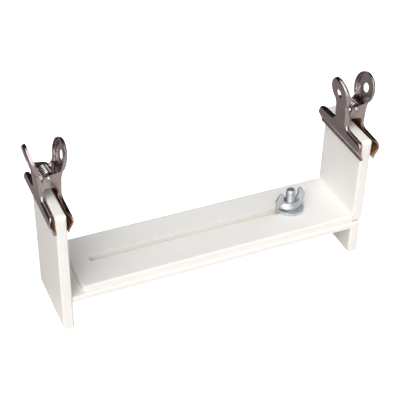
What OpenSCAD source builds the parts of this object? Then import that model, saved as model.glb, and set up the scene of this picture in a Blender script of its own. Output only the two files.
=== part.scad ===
// Bead loom: a fixed frame, a carriage that slides along a slot and is held by a wing nut,
// and a sprung bulldog clip on each end board to hold the threads.
// Millimetres. X runs along the loom, Y from front to back, and Z up from the floor.
// The origin is the middle of the closed loom's length and depth, on the floor.

/* [Overall] */
// Length of the closed loom over its two end boards
loom_l = 202; // [160:1:400]
// Depth of the fixed frame, front to back
loom_d = 50; // [40:1:80]
// Height of both end boards
loom_h = 85; // [70:1:140]

/* [Fixed frame] */
// Thickness of the fixed end board
end_t = 6.5; // [4:0.1:9]
// Height of the base plate's underside above the floor
base_z = 20.5; // [10:0.5:30]
// Thickness of the base plate
base_t = 3.5; // [3:0.1:6]
// Thickness of the foot under the base plate's free end
foot_t = 6.5; // [4:0.1:10]
// How far the carriage's upright stands out past the foot
foot_inset = 2; // [0:0.1:4]

/* [Carriage] */
// Thickness of the slide plate
slide_t = 4.5; // [3:0.1:7]
// How far the carriage is set in from the frame's front and back
slide_inset = 2; // [0:0.1:5]
// Gap between the closed slide plate and the fixed end board
slide_gap = 7.2; // [1:0.1:15]
// Radius of the slide plate's two free corners, seen from above
slide_r = 4; // [1:0.5:10]
// Thickness of the upright
upright_t = 7; // [4:0.1:9]
// Width of the slot along the slide plate
slot_w = 6.6; // [6.4:0.1:9]
// Distance from the slide plate's free end to the slot's tip
slot_margin = 11.3; // [6:0.1:40]

/* [Edges] */
// Rounding of every free edge of the boards
edge_r = 1.2; // [0.4:0.1:1.5]
// Rounding of the end boards' upper front and back corners
top_r = 3; // [1:0.1:8]
// Radius of the weld bead in the carriage's inner corner
bead_r = 1.8; // [0.5:0.1:3]

/* [Clamp] */
// Distance from the upright's outer face to the clamp bolt's axis
bolt_back = 40.8; // [30:0.1:60]
// Diameter of the bolt's thread
bolt_d = 6; // [5:0.5:6]
// Height of the bolt's end above the slide plate
bolt_rise = 14.8; // [9:0.1:20]
// Diameter of the bolt's round head
head_d = 16; // [12:0.5:20]
// Height of the bolt's round head
head_h = 3.3; // [2:0.1:5]
// Height of the square neck under the bolt's head
neck_h = 3.2; // [1:0.1:3.4]
// Room on each side of the square neck
neck_gap = 0.1; // [0.05:0.05:0.3]
// Outer diameter of the washer
washer_d = 18; // [12:0.5:24]
// Thickness of the washer
washer_t = 1.8; // [0.8:0.1:3]
// Room round the bolt in the washer
washer_gap = 0.2; // [0.1:0.05:0.5]
// Height of the wing nut's hub
hub_h = 5; // [3:0.1:8]
// Diameter of the wing nut's hub at its foot
hub_d = 11; // [9:0.1:14]
// Diameter of the wing nut's hub at its top
hub_top_d = 8.6; // [8:0.1:12]
// Span over the tips of the two wings
wing_span = 22.4; // [20:0.1:34]
// Height of the wings above the washer
wing_h = 11.6; // [8:0.1:16]
// Thickness of a wing
wing_t = 1.9; // [1:0.1:3]
// Turn of the tightened nut about its axis
wing_turn = 9; // [0:1:180]

/* [Clip] */
// Width of the jaws
jaw_w = 51; // [40:1:76]
// Thickness of the jaws' sheet steel
sheet = 0.8; // [0.5:0.05:1]
// Height of the pivot pin above the board's top edge
pin_rise = 14; // [12:0.5:20]
// Depth of the line where a lip grips, below the pin
lip_depth = 24.8; // [22:0.1:30]
// Board thickness at which the handles stand upright
clip_grip = 6.5; // [4:0.1:9]
// Height from the lips' edge to the top of the jaw's wings
jaw_h = 12; // [9:0.1:14]
// Distance from the clip's middle to a jaw's sheet, at the pin
jaw_s = 6.9; // [6:0.1:8]
// Distance from the clip's middle to a handle's sheet, at the handle's middle
handle_s = 9.5; // [8:0.1:11]
// Outward lean of the handles while the clip grips
handle_lean = 12.5; // [0:0.5:15]
// Half the width of the jaw's waist, over an outer ear
waist = 7.3; // [6.8:0.1:9]
// Radius of the inner corner between wing and waist
shoulder_r = 7; // [4:0.1:8]
// Radius of the round handle
handle_r = 10.1; // [9:0.1:13]
// Height of the handle's middle above the pin
handle_rise = 9.45; // [9:0.05:12]
// Diameter of the hole in the handle
handle_hole_d = 6; // [4:0.1:8]
// Depth of the handle's folded rim
rim_h = 2.1; // [0.5:0.1:2.4]
// Radius of an ear's round end
ear_r = 4.3; // [3:0.1:4.6]
// How far the middle of that round end lies below the pin
ear_low = 2; // [0:0.1:2.5]
// Height of the outer and of the inner ear above the pin, where it is folded in
ear_top = 2.3; // [1:0.1:2.4]
inner_ear_top = 1.5; // [1:0.1:2.4]
// Depth of an ear below the pin, where it is folded in
ear_drop = 6.1; // [4.6:0.1:7]
// Side gap between an outer ear, the inner ear and the pin's head
ear_gap = 0.1; // [0.05:0.05:0.2]

/* [Clip pin and spring] */
// Diameter of the pivot pin
pin_d = 2.2; // [1.8:0.1:2.4]
// Diameter of the pin's peened heads
pin_head_d = 3.8; // [3:0.1:5]
// Height of a peened head
pin_head_h = 1; // [0.6:0.1:1.5]
// Room round the pin in each ear
pin_gap = 0.05; // [0.02:0.01:0.1]
// Diameter of the spring wire
wire_d = 1; // [0.7:0.05:1]
// Radius of the spring's coil at the middle of the wire
coil_r = 2.4; // [2.3:0.05:2.6]
// Pitch of the coil
coil_pitch = 1.42; // [1.42:0.01:1.5]
// Whole turns in the coil, to which the reach between its two legs is added
coil_turns = 6; // [3:1:6]
// Slant of the loose coil on its pin, seen from above
coil_slant = 5; // [0:1:6]
// Height of the legs' tips above the pin
leg_rise = 8.8; // [6:0.1:10]

/* [Hidden] */

plastic = "#f2f1ef";
bright_zinc = "#c9cbcc";
dark_nickel = "#8a827d";
spring_steel = "#c4c2bf";

// Facets of one rounded corner, of a full turn, of the arc round a handle, and of a disc in a leaf
corner_n = 6;
round_n = 64;
handle_n = 40;
leaf_n = 40;
// A cut runs this far past the faces it goes through
past = 1;
// Clearance between a lip and the board it grips, and between a leg and its handle
touch_gap = 0.05;

// Places along the loom
left_x = -loom_l / 2;
right_x = loom_l / 2;
inner_x = left_x + end_t;
foot_x = right_x - foot_inset;
upright_x = right_x - upright_t;
slide_x = inner_x + slide_gap;
bolt_x = right_x - bolt_back;
slot_x = slide_x + slot_margin + slot_w / 2;

// Heights
base_top = base_z + base_t;
slide_top = base_top + slide_t;
washer_top = slide_top + washer_t;
pin_z = loom_h + pin_rise;

// Half depths
frame_y = loom_d / 2;
slide_y = loom_d / 2 - slide_inset;

// Clip places: the middle of each end board
left_clip_x = left_x + end_t / 2;
right_clip_x = right_x - upright_t / 2;

// A wing's smaller sizes: the radii of its lobe, top and foot, the height of the lobe as a share of the
// wing's, how far the top and the foot lie inside the lobe, and the foot's height above the washer
lobe_r = 2.3;
wing_top_r = 1.7;
wing_foot_r = 1.9;
lobe_rise = 0.56;
wing_top_in = 1.4;
wing_foot_in = 0.6;
wing_lift = 0.5;

// The radii of the four bends in a jaw's sheet, from its lip up
bend_r = [0.6, 3, 3, 3];

// The jaw's smaller sizes: the lip's turned-out edge and the sheet's lower edge below the grip, how high
// above the grip the sheet stands upright, the heights of the S-bend's two ends and of the rim's foot,
// how far the sheet laps the dish there, the rim's outer bend radius and that of an ear's fold at the
// middle of its sheet, the wings' corners and the slope of their upper edge
lip_turn = 1.6;
lip_edge = 1.2;
belly_rise = 6.2;
waist_top = 2.5;
handle_foot = 4.7;
rim_foot = 4.6;
rim_lap = 0.8;
rim_bend = 1.6;
fold_r = 1.2;
lip_corner_r = 1;
wing_corner_r = 3;
wing_slope = 0.8;

// The ears lie side by side: each jaw has an outer ear on one side and an inner ear on the other
inner_waist = waist - sheet - ear_gap;
pin_reach = waist + ear_gap / 2;
pin_hole_r = pin_d / 2 + pin_gap;

// How far a jaw has turned from its upright stand to let a board of this thickness in
function jaw_turn(board_t) = asin((board_t - clip_grip) / 2 / lip_depth);

echo(travel = bolt_x - slot_x);

// Points of an arc from angle a to angle b
function arc(mid, r, a, b, n) =
    [for (i = [0:n]) mid + r * [cos(a + (b - a) * i / n), sin(a + (b - a) * i / n)]];

function unit(v) = v / norm(v);
function turned(v, a) = [v.x * cos(a) - v.y * sin(a), v.x * sin(a) + v.y * cos(a)];

// Points round corner b of an outline that comes from a and goes on to c
function fillet(a, b, c, r) =
    let (u = unit(a - b), w = unit(c - b), half = acos(u * w) / 2)
    let (mid = b + unit(u + w) * r / sin(half), start = b + u * r / tan(half) - mid)
    let (stop = b + w * r / tan(half) - mid, turn = atan2(cross(start, stop), start * stop))
    [for (i = [0:corner_n]) mid + turned(start, turn * i / corner_n)];

// An open path with each of its inner corners rounded
function rounded_path(p, r) =
    [p[0], for (i = [1:len(p) - 2]) each fillet(p[i - 1], p[i], p[i + 1], r[i - 1]), p[len(p) - 1]];

// A closed outline with each corner rounded, or left sharp where its radius is 0
function rounded_outline(p, r) =
    let (n = len(p))
    [for (i = [0:n - 1]) each r[i] > 0 ? fillet(p[(i + n - 1) % n], p[i], p[(i + 1) % n], r[i]) : [p[i]]];

// A rectangle whose corners are rounded, from the lower left one round anticlockwise
function rounded_rect(lo, hi, r) =
    rounded_outline([lo, [hi.x, lo.y], hi, [lo.x, hi.y]], r);

// Points beside a path, at distance d to its left
function beside(p, d) =
    [for (i = [0:len(p) - 1])
        let (j = max(i, 1), k = min(i, len(p) - 2))
        let (m = unit(p[j] - p[j - 1]) + unit(p[k + 1] - p[k]))
        p[i] + d * 2 / (m * m) * [-m.y, m.x]];

function reversed(p) = [for (i = [len(p) - 1:-1:0]) p[i]];

// The outline of a strip that runs along a path, from left of it to right of it
function strip(p, left, right) = concat(beside(p, left), reversed(beside(p, -right)));

// Prisms that stand on an outline: of X and Y, of X and Z, and of Y and Z
module along_z(outline, lo, hi) {
    translate([0, 0, lo])
        linear_extrude(hi - lo) polygon(outline);
}

module along_y(outline, lo, hi) {
    translate([0, hi, 0])
        rotate([90, 0, 0])
            linear_extrude(hi - lo) polygon(outline);
}

module along_x(outline, lo, hi) {
    translate([lo, 0, 0])
        rotate([90, 0, 90])
            linear_extrude(hi - lo) polygon(outline);
}

// Boards

module end_board() {
    color(plastic)
        intersection() {
            along_x(rounded_rect([-frame_y, 0], [frame_y, loom_h], [edge_r, edge_r, top_r, top_r]),
                    left_x, inner_x);
            along_y(rounded_rect([left_x, 0], [inner_x, loom_h], edge_r * [1, 1, 1, 1]),
                    -frame_y, frame_y);
            along_z(rounded_rect([left_x, -frame_y], [inner_x, frame_y], edge_r * [1, 1, 1, 1]),
                    0, loom_h);
        }
}

// The plate is square where it meets the end board, and the bolt's neck sits in its square hole
module base_plate() {
    color(plastic)
        difference() {
            intersection() {
                along_x(rounded_rect([-frame_y, base_z], [frame_y, base_top], edge_r * [0, 0, 1, 1]),
                        inner_x, foot_x);
                along_z(rounded_rect([inner_x, -frame_y], [foot_x, frame_y], edge_r * [0, 1, 1, 0]),
                        base_z, base_top);
            }
            translate([bolt_x, 0, base_z + base_t / 2])
                cube([bolt_d + 2 * neck_gap, bolt_d + 2 * neck_gap, base_t + 2 * past], center = true);
        }
}

module foot() {
    foot_in_x = foot_x - foot_t;
    color(plastic)
        intersection() {
            along_x(rounded_rect([-frame_y, 0], [frame_y, base_z], edge_r * [1, 1, 0, 0]),
                    foot_in_x, foot_x);
            along_y(rounded_rect([foot_in_x, 0], [foot_x, base_z], edge_r * [1, 1, 0, 0]),
                    -frame_y, frame_y);
            along_z(rounded_rect([foot_in_x, -frame_y], [foot_x, frame_y], edge_r * [1, 1, 1, 1]),
                    0, base_z);
        }
}

// The slot runs from near the free end to the bolt, which stops the carriage at both its tips
module slide_plate() {
    color(plastic)
        difference() {
            intersection() {
                along_x(rounded_rect([-slide_y, base_top], [slide_y, slide_top], edge_r * [0, 0, 1, 1]),
                        slide_x, upright_x);
                along_y(rounded_rect([slide_x, base_top], [upright_x, slide_top], edge_r * [0, 0, 0, 1]),
                        -slide_y, slide_y);
                along_z(rounded_rect([slide_x, -slide_y], [upright_x, slide_y], slide_r * [1, 0, 0, 1]),
                        base_top, slide_top);
            }
            for (x = [slot_x, bolt_x])
                translate([x, 0, base_top - past])
                    cylinder(d = slot_w, h = slide_t + 2 * past, $fn = round_n);
            translate([slot_x, -slot_w / 2, base_top - past])
                cube([bolt_x - slot_x, slot_w, slide_t + 2 * past]);
        }
}

// The upright stands on the base plate and is welded to the slide plate's end along a bead
module upright() {
    bead_mid = [upright_x - bead_r, slide_top + bead_r];
    bead = concat([[upright_x + past / 2, slide_top], [upright_x + past / 2, slide_top + bead_r]],
                  arc(bead_mid, bead_r, 0, -90, corner_n));
    color(plastic) {
        intersection() {
            along_x(rounded_rect([-slide_y, base_top], [slide_y, loom_h], [edge_r, edge_r, top_r, top_r]),
                    upright_x, right_x);
            along_y(rounded_rect([upright_x, base_top], [right_x, loom_h], edge_r * [0, 1, 1, 1]),
                    -slide_y, slide_y);
            along_z(rounded_rect([upright_x, -slide_y], [right_x, slide_y], edge_r * [1, 1, 1, 1]),
                    base_top, loom_h);
        }
        along_y(bead, edge_r - slide_y, slide_y - edge_r);
    }
}

// Clamp

// A carriage bolt: domed head below the base plate, square neck in it, thread up through the slot
module clamp_bolt() {
    dome_r = (head_d * head_d / 4 + head_h * head_h) / (2 * head_h);
    dome_a = asin(head_d / 2 / dome_r);
    end_z = slide_top + bolt_rise;
    tip = bolt_d / 10;
    color(bright_zinc)
        translate([bolt_x, 0, 0]) {
            rotate_extrude($fn = round_n)
                polygon(concat([[0, base_z]],
                               arc([0, base_z - head_h + dome_r], dome_r, -90, dome_a - 90, 2 * corner_n)));
            translate([-bolt_d / 2, -bolt_d / 2, base_z - past / 4])
                cube([bolt_d, bolt_d, neck_h + past / 4]);
            rotate_extrude($fn = round_n)
                polygon([[0, base_z - past / 4], [bolt_d / 2, base_z - past / 4], [bolt_d / 2, end_z - tip],
                         [bolt_d / 2 - tip, end_z], [0, end_z]]);
        }
}

module washer() {
    color(bright_zinc)
        translate([bolt_x, 0, slide_top])
            difference() {
                cylinder(d = washer_d, h = washer_t, $fn = round_n);
                translate([0, 0, -past])
                    cylinder(r = bolt_d / 2 + washer_gap, h = washer_t + 2 * past, $fn = round_n);
            }
}

// One wing stands on the hub like a leaf: a lobe at the tip, and a web down to the hub
module wing() {
    lobe = [wing_span / 2 - lobe_r, wing_h * lobe_rise];
    top = [lobe.x - wing_top_in, wing_h - wing_top_r];
    foot = [lobe.x - wing_foot_in, wing_foot_r + wing_lift];
    root = [hub_top_d / 2, foot.y];
    rotate([90, 0, 0])
        translate([0, 0, -wing_t / 2])
            linear_extrude(wing_t) {
                leaf([top, lobe, foot], [wing_top_r, lobe_r, wing_foot_r]);
                leaf([lobe, foot, root], [lobe_r, wing_foot_r, wing_foot_r]);
            }
}

// The outline drawn tight round three discs
module leaf(mid, r) {
    hull()
        for (i = [0:len(mid) - 1])
            translate(mid[i])
                circle(r[i], $fn = leaf_n);
}

module wing_nut() {
    step = hub_h / 5;
    color(bright_zinc)
        translate([bolt_x, 0, washer_top])
            rotate([0, 0, wing_turn])
                difference() {
                    union() {
                        rotate_extrude($fn = round_n)
                            polygon([[0, 0], [hub_d / 2, 0], [hub_d / 2, step],
                                     [hub_top_d / 2, hub_h - step / 2], [hub_top_d / 2 - step / 2, hub_h],
                                     [0, hub_h]]);
                        wing();
                        rotate([0, 0, 180]) wing();
                    }
                    translate([0, 0, -past])
                        cylinder(r = bolt_d / 2 + pin_gap, h = wing_h + 2 * past, $fn = round_n);
                }
}

// Clips. In a clip's own frame the origin is on the pin's axis: X is across the board,
// Y is along the pin, and Z is up. The jaw described is the one on the +X side.

// The sheet's path, from the lip's turned-out edge up to the top of the leaning handle
function jaw_path() =
    let (lip_s = clip_grip / 2 + touch_gap + sheet / 2)
    rounded_path([[lip_s + sheet, -lip_depth - lip_turn], [lip_s, -lip_depth],
                  [jaw_s, -lip_depth + belly_rise], [jaw_s, waist_top],
                  handle_point(handle_foot), handle_point(handle_rise + handle_r + past)],
                 bend_r);

// A point on the handle's sheet at this height above the pin
function handle_point(v) = [handle_s + (v - handle_rise) * tan(handle_lean), v];

// Half the waist's width on each side, and the angle where the handle's round meets it
function meets(w) = asin(-sqrt(handle_r * handle_r - w * w) / handle_r);

// The jaw seen from the side of the board: wide wings below, a waist at the pin, a round handle.
// The handle leans, so its round looks a little lower than it is wide.
function jaw_outline() =
    let (low = -lip_depth - lip_edge, top = low + jaw_h, w = jaw_w / 2)
    let (round = arc([0, 0], handle_r, meets(inner_waist), 180 - meets(waist), handle_n))
    let (right_end = [inner_waist, 0], left_end = [-waist, 0])
    concat(fillet([0, low], [w, low], [w, top], lip_corner_r),
           fillet([w, low], [w, top], [inner_waist, top + wing_slope], wing_corner_r),
           fillet([w, top], [inner_waist, top + wing_slope], right_end, shoulder_r),
           [for (p = round) [p.x, handle_rise + p.y * cos(handle_lean)]],
           fillet(left_end, [-waist, top + wing_slope], [-w, top], shoulder_r),
           fillet([-waist, top + wing_slope], [-w, top], [-w, low], wing_corner_r),
           fillet([-w, top], [-w, low], [0, low], lip_corner_r));

// An ear: bent in from the edge of the waist's half width w, and carried past the pin. Side is -1 or 1.
module ear(w, side, top) {
    y = side * (w - sheet / 2);
    intersection() {
        along_z(strip(rounded_path([[jaw_s, 0], [jaw_s, y], [-ear_r - past, y]], [fold_r]),
                      sheet / 2, sheet / 2), -ear_low - ear_r, ear_r);
        rotate([90, 0, 0])
            linear_extrude(2 * waist, center = true)
                hull() {
                    translate([0, -ear_low])
                        circle(ear_r, $fn = leaf_n);
                    translate([jaw_s - sheet / 2, -ear_drop])
                        square([sheet, top + ear_drop]);
                }
    }
}

// The flat sheet ends where an ear's bend begins
module fold_room(w, side, top) {
    y = side * (w - sheet / 2 - fold_r);
    translate([jaw_s - past, side > 0 ? y : y - waist, -ear_drop])
        cube([2 * past, waist, top + ear_drop]);
}

// Stands its children on the handle's middle: X is out of the sheet, and Z is up along it
module on_handle() {
    translate([handle_s, 0, handle_rise])
        rotate([0, handle_lean, 0])
            children();
}

// The round handle with its rim bent in, from the dish's middle out
module handle_dish() {
    face = sheet / 2;
    bend = [handle_r - rim_bend, face - rim_bend];
    wall = concat([[0, face]], arc(bend, rim_bend, 90, 0, corner_n),
                  [[handle_r, -face - rim_h], [handle_r - sheet, -face - rim_h]],
                  arc(bend, rim_bend - sheet, 0, 90, corner_n), [[0, -face]]);
    difference() {
        on_handle()
            rotate([0, 90, 0])
                rotate_extrude($fn = round_n) polygon(wall);
        translate([0, -handle_r - past, rim_foot - handle_r])
            cube([2 * handle_r, 2 * (handle_r + past), handle_r]);
    }
}

// Below the dish the rim runs on beside the S-bend, down to the ears
module rim_run() {
    intersection() {
        along_y(strip(jaw_path(), sheet / 2 + rim_h, sheet / 2), -handle_r, handle_r);
        on_handle()
            rotate([0, 90, 0])
                difference() {
                    cylinder(r = handle_r, h = handle_s, center = true, $fn = round_n);
                    cylinder(r = handle_r - sheet, h = handle_s + past, center = true, $fn = round_n);
                }
        translate([0, -handle_r, ear_top - sheet / 2])
            cube([2 * handle_r, 2 * handle_r, rim_foot + sheet / 2 - ear_top]);
    }
}

module jaw() {
    difference() {
        union() {
            difference() {
                intersection() {
                    along_y(strip(jaw_path(), sheet / 2, sheet / 2), -jaw_w, jaw_w);
                    along_x(jaw_outline(), 0, handle_s + handle_r);
                }
                on_handle()
                    translate([-past, -jaw_w, rim_foot + rim_lap - handle_rise])
                        cube([2 * past, 2 * jaw_w, 2 * handle_r]);
                fold_room(waist, -1, ear_top);
                fold_room(inner_waist, 1, inner_ear_top);
            }
            handle_dish();
            rim_run();
            ear(waist, -1, ear_top);
            ear(inner_waist, 1, inner_ear_top);
        }
        rotate([90, 0, 0])
            cylinder(r = pin_hole_r, h = jaw_w, center = true, $fn = round_n);
        on_handle()
            rotate([0, 90, 0])
                cylinder(d = handle_hole_d, h = handle_r, center = true, $fn = round_n);
    }
}

// A jaw on the clip at x: side 1 is the +X jaw and side -1 the same stamping turned half round
module placed_jaw(x, board_t, side) {
    color(dark_nickel)
        translate([x, 0, pin_z])
            rotate([0, 0, side > 0 ? 0 : 180])
                rotate([0, -jaw_turn(board_t), 0])
                    jaw();
}

// The pin runs through all four ears and is peened over at both ends
module pivot_pin(x) {
    dome_r = (pin_head_d * pin_head_d / 4 + pin_head_h * pin_head_h) / (2 * pin_head_h);
    dome_a = asin(pin_head_d / 2 / dome_r);
    mid = pin_reach + pin_head_h - dome_r;
    head = arc([0, mid], dome_r, 90 - dome_a, 90, corner_n);
    color(bright_zinc)
        translate([x, 0, pin_z])
            rotate([90, 0, 0])
                rotate_extrude($fn = round_n)
                    polygon(concat([[0, 0], [pin_d / 2, 0], [pin_d / 2, pin_reach]], head));
    color(bright_zinc)
        translate([x, 0, pin_z])
            rotate([-90, 0, 0])
                rotate_extrude($fn = round_n)
                    polygon(concat([[0, 0], [pin_d / 2, 0], [pin_d / 2, pin_reach]], head));
}

// Springs: each is one wire, a straight leg to each handle and a coil round the pin.
// A leg leaves the coil along the tangent that runs to its tip on the handle.

rings_per_turn = 8;
wire_sides = 6;

// Tip of the +X leg, for a jaw that has turned by a
function leg_tip(a) =
    turned(handle_point(leg_rise) - [(sheet / 2 + touch_gap + wire_d / 2) / cos(handle_lean), 0], a);

// Angle on the coil where the tangent to the tip leaves it
function leg_angle(tip) = atan2(tip.y, tip.x) - acos(coil_r / norm(tip));

function coil_sweep(tip) = 360 * coil_turns + 2 * leg_angle(tip) + 180;

// The wire's path as pairs of a point and the way out from the coil's axis
function coil_points(tip) =
    let (first = 180 - leg_angle(tip), sweep = coil_sweep(tip))
    let (n = round(sweep / 360 * rings_per_turn), l = coil_pitch * sweep / 360)
    [for (i = [0:n])
        let (a = first + sweep * i / n, out = [cos(a), 0, sin(a)])
        [slanted(coil_r * out + [0, l * (i / n - 0.5), 0]), slanted(out)]];

function slanted(v) =
    [v.x * cos(coil_slant) - v.y * sin(coil_slant), v.x * sin(coil_slant) + v.y * cos(coil_slant), v.z];

function spring_points(board_t) =
    let (tip = leg_tip(jaw_turn(board_t)), coil = coil_points(tip), last = len(coil) - 1)
    let (y = coil_pitch * coil_sweep(tip) / 720)
    let (front = [-tip.x, -y, tip.y], back = [tip.x, y, tip.y])
    concat([[front, coil[0][1]], [front + wire_d * unit(coil[0][0] - front), coil[0][1]]],
           coil,
           [[back + wire_d * unit(coil[last][0] - back), coil[last][1]], [back, coil[last][1]]]);

// Corners of the wire's cross-section at point i
function wire_ring(p, i) =
    let (t = unit(p[min(i + 1, len(p) - 1)][0] - p[max(i - 1, 0)][0]))
    let (u = unit(p[i][1] - (p[i][1] * t) * t), w = cross(t, u))
    [for (k = [0:wire_sides - 1])
        p[i][0] + wire_d / 2 * (cos(360 * k / wire_sides) * u + sin(360 * k / wire_sides) * w)];

// The least gap between two stretches of wire at least half a turn apart, measured on its points
function least_gap(p) =
    min([for (i = [0:len(p) - 1]) for (j = [i + rings_per_turn / 2:1:len(p) - 1]) norm(p[i][0] - p[j][0])])
    - wire_d;

module tube(p) {
    n = len(p);
    s = wire_sides;
    sides = [for (i = [0:n - 2]) for (k = [0:s - 1]) each [
        [i * s + k, (i + 1) * s + k, i * s + (k + 1) % s],
        [i * s + (k + 1) % s, (i + 1) * s + k, (i + 1) * s + (k + 1) % s]]];
    ends = [for (k = [1:s - 2]) each [
        [0, k, k + 1],
        [(n - 1) * s, (n - 1) * s + k + 1, (n - 1) * s + k]]];
    polyhedron([for (i = [0:n - 1]) each wire_ring(p, i)], concat(sides, ends));
}

module spring(x, board_t) {
    p = spring_points(board_t);
    echo(least_gap = least_gap(p), rings = len(p), turns = coil_sweep(leg_tip(jaw_turn(board_t))) / 360);
    color(spring_steel)
        translate([x, 0, pin_z])
            tube(p);
}

module left_outer_jaw() { placed_jaw(left_clip_x, end_t, -1); }
module left_inner_jaw() { placed_jaw(left_clip_x, end_t, 1); }
module left_pivot_pin() { pivot_pin(left_clip_x); }
module left_spring() { spring(left_clip_x, end_t); }
module right_outer_jaw() { placed_jaw(right_clip_x, upright_t, 1); }
module right_inner_jaw() { placed_jaw(right_clip_x, upright_t, -1); }
module right_pivot_pin() { pivot_pin(right_clip_x); }
module right_spring() { spring(right_clip_x, upright_t); }

end_board();
base_plate();
foot();
slide_plate();
upright();
clamp_bolt();
washer();
wing_nut();
left_outer_jaw();
left_inner_jaw();
left_pivot_pin();
left_spring();
right_outer_jaw();
right_inner_jaw();
right_pivot_pin();
right_spring();
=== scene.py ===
# %% [markdown]
# # A bead loom
# The loom is a white plastic frame with a carriage that slides along a slot. A carriage bolt, a washer and a
# wing nut hold the carriage, and a bulldog clip on each end board holds the threads. The CAD model gives
# every size and place, so this script only makes what the eye needs on top of it: the finishes, and finer
# forms for the parts whose CAD solids are plainer than the real pieces.

# %% Load the CAD model as a fixed frame
import math
import bmesh
import bpy
from mathutils import Matrix, Vector
from mathutils.geometry import delaunay_2d_cdt


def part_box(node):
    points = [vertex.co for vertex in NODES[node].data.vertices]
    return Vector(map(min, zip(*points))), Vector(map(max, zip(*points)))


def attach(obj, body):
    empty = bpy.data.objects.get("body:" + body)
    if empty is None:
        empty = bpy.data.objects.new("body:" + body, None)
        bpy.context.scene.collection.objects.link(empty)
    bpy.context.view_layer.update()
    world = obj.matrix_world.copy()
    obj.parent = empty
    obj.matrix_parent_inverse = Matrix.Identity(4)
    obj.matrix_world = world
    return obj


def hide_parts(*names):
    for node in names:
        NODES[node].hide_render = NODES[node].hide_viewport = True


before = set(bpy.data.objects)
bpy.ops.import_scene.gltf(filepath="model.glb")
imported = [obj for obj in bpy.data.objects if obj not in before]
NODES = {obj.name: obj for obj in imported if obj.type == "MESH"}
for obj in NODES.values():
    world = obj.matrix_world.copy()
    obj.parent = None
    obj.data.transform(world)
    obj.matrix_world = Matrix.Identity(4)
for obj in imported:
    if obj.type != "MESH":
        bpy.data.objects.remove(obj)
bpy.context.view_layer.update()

MM = 0.001

# %% [markdown]
# ## The camera
# The photograph was taken from the front left and above, from about 0.7 m away with a long lens, so the
# loom's long edges run nearly parallel. A pinhole camera was fitted to those edges. Blender could also aim a
# camera with a Track To constraint, but a matrix made from the direction of view keeps the small roll.

# %% Camera at the photograph's place
EYE_MM = (-212.1, -468.1, 442.9)
AZIMUTH, ELEVATION, ROLL = 24.04, 37.28, 1.37
FOCAL_PX, PHOTO_PX, SENSOR_MM = 1050.2, 400, 36.0
NEAR_M, FAR_M = 0.01, 20


def aimed(eye, azimuth, elevation, roll):
    """The place and turn of a camera that looks along azimuth (from +Y towards +X) and down by elevation."""
    az, el = math.radians(azimuth), math.radians(elevation)
    ahead = Vector((math.sin(az) * math.cos(el), math.cos(az) * math.cos(el), -math.sin(el)))
    level = ahead.cross(Vector((0, 0, 1))).normalized()
    right = Matrix.Rotation(-math.radians(roll), 3, ahead) @ level
    up = right.cross(ahead)
    return Matrix.Translation(eye) @ Matrix((right, up, -ahead)).transposed().to_4x4()


lens = bpy.data.cameras.new("photo_camera")
lens.sensor_width = SENSOR_MM
lens.lens = SENSOR_MM * FOCAL_PX / PHOTO_PX
lens.clip_start, lens.clip_end = NEAR_M, FAR_M
camera = bpy.data.objects.new("photo_camera", lens)
camera.matrix_world = aimed(Vector(EYE_MM) * MM, AZIMUTH, ELEVATION, ROLL)
bpy.context.scene.collection.objects.link(camera)
bpy.context.scene.camera = camera
print("lens", round(lens.lens, 1), "mm")

# %% [markdown]
# ## Materials: three helpers
# A material here is a small tree of nodes. Colours are written as the hex values a picture shows, and Blender
# wants linear light, so one function turns them over. A second adds a node of any kind, sets it and links it.
# The third starts a material with the Object coordinates that its patterns read.

# %% Helpers for colours and nodes
NOISE, REMAP, MIX, MATH = "ShaderNodeTexNoise", "ShaderNodeMapRange", "ShaderNodeMix", "ShaderNodeMath"


def linear(code):
    """An sRGB hex colour as linear light, with full alpha."""
    parts = [int(code[i:i + 2], 16) / 255 for i in (1, 3, 5)]
    return [v / 12.92 if v <= 0.04045 else ((v + 0.055) / 1.055) ** 2.4 for v in parts] + [1.0]


def add(tree, kind, inputs=None, **settings):
    """Adds a node. settings are its own properties, and inputs its sockets' values or what feeds them.

    What feeds a socket is another socket, or a node, which then gives the first output it has in use.
    """
    made = tree.nodes.new(kind)
    for name, value in settings.items():
        setattr(made, name, value)
    for name, value in (inputs or {}).items():
        if isinstance(value, bpy.types.Node):
            value = next(socket for socket in value.outputs if socket.enabled)
        if isinstance(value, bpy.types.NodeSocket):
            tree.links.new(value, made.inputs[name])
        else:
            made.inputs[name].default_value = value
    return made


def new_material(name):
    """A material without nodes but for its Object coordinates; gives material, tree and coordinates."""
    made = bpy.data.materials.new(name)
    made.use_nodes = True
    tree = made.node_tree
    tree.nodes.clear()
    return made, tree, add(tree, "ShaderNodeTexCoord").outputs["Object"]


print("helpers ready; mid grey is", round(linear("#808080")[0], 3), "in linear light")

# %% [markdown]
# ## Materials: a finish that varies
# No real surface is one even colour. Sheet plastic and plated steel both vary in the same three ways: soft
# patches of colour, patches of gloss from handling, and a surface that is not quite flat. Noise at a real
# size in millimetres drives each of them. Painted textures would do it too, but noise needs no file and
# leaves no seams.

# %% One function for finishes that vary
TINT_SPAN, GLOSS_SPAN = (0.35, 0.65), (0.3, 0.7)
PATCH_DETAIL = 3.0


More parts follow.
